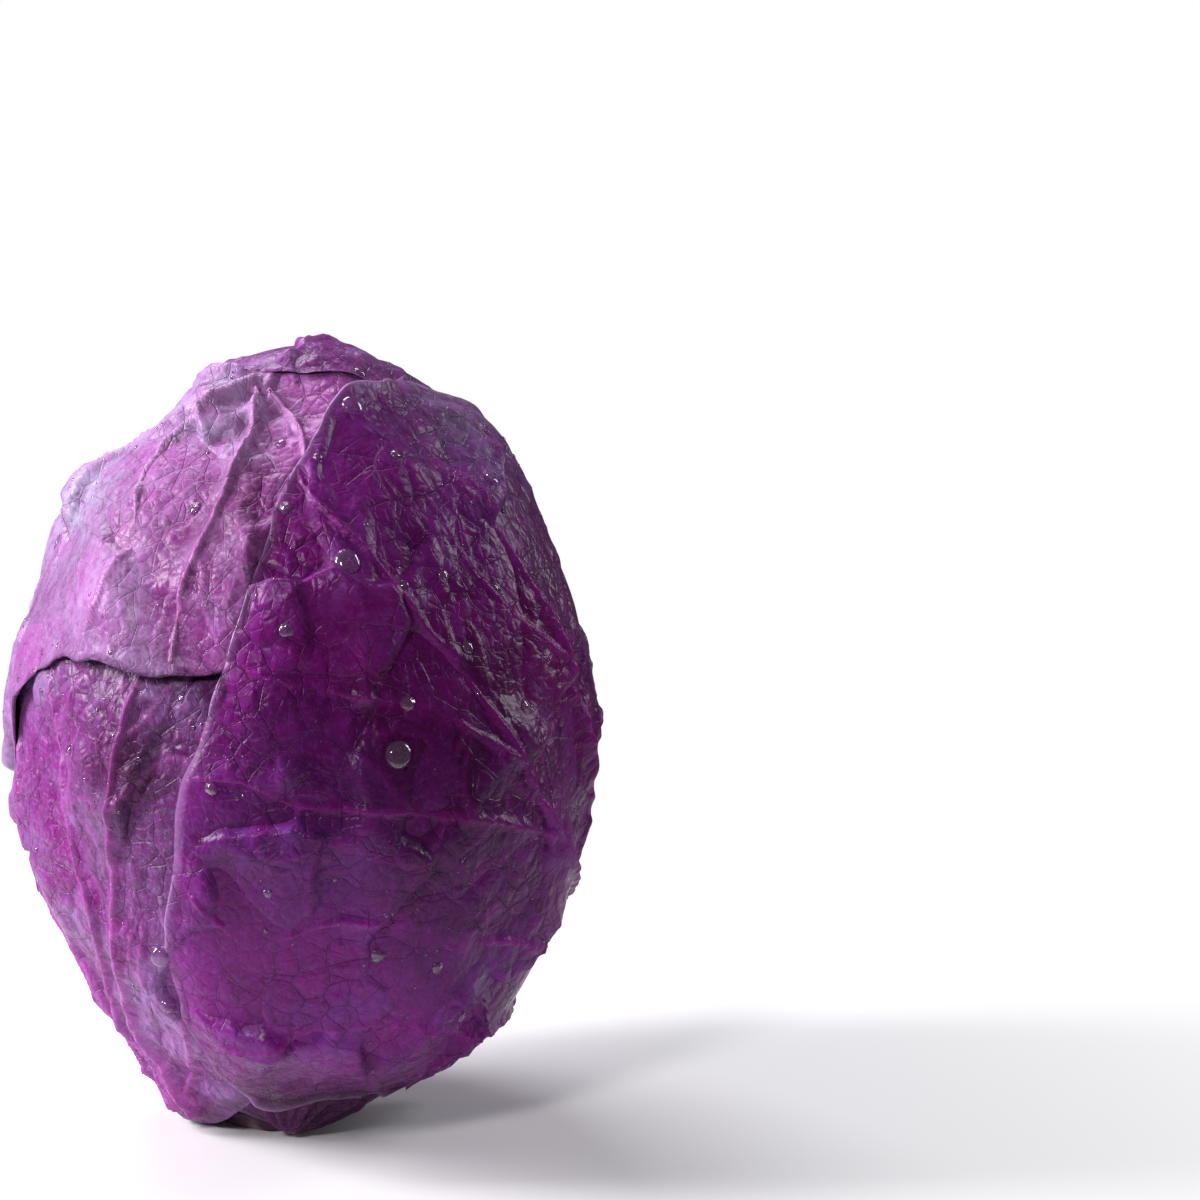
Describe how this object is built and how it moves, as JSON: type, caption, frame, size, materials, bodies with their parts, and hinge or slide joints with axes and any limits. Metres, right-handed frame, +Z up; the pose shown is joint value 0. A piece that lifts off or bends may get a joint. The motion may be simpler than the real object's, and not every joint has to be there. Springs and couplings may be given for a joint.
{
  "type": "red cabbage head",
  "caption": "Whole red cabbage: overlapping wrapper leaves round a packed head, standing on its short cut stem.",
  "frame": {"origin": "middle of the bounding box's bottom, on the surface that the cabbage stands on", "axes": "+Z up from the cut stem to the crown, -Y towards the side with the long slanting leaf margin"},
  "size_m": [0.1418, 0.1406, 0.1902],
  "materials": {
    "leaf": "waxy satin",
    "inner_leaves": "satin",
    "stem": "matt"
  },
  "bodies": {
    "root": {"leaf_front_right": "leaf", "leaf_right_back": "leaf", "leaf_over_top": "leaf", "leaf_lower_left": "leaf", "leaf_left_back": "leaf", "leaf_low_back": "leaf", "leaf_underside_front": "leaf", "inner_head": "inner_leaves", "stem_butt": "stem"}
  },
  "joints": []
}
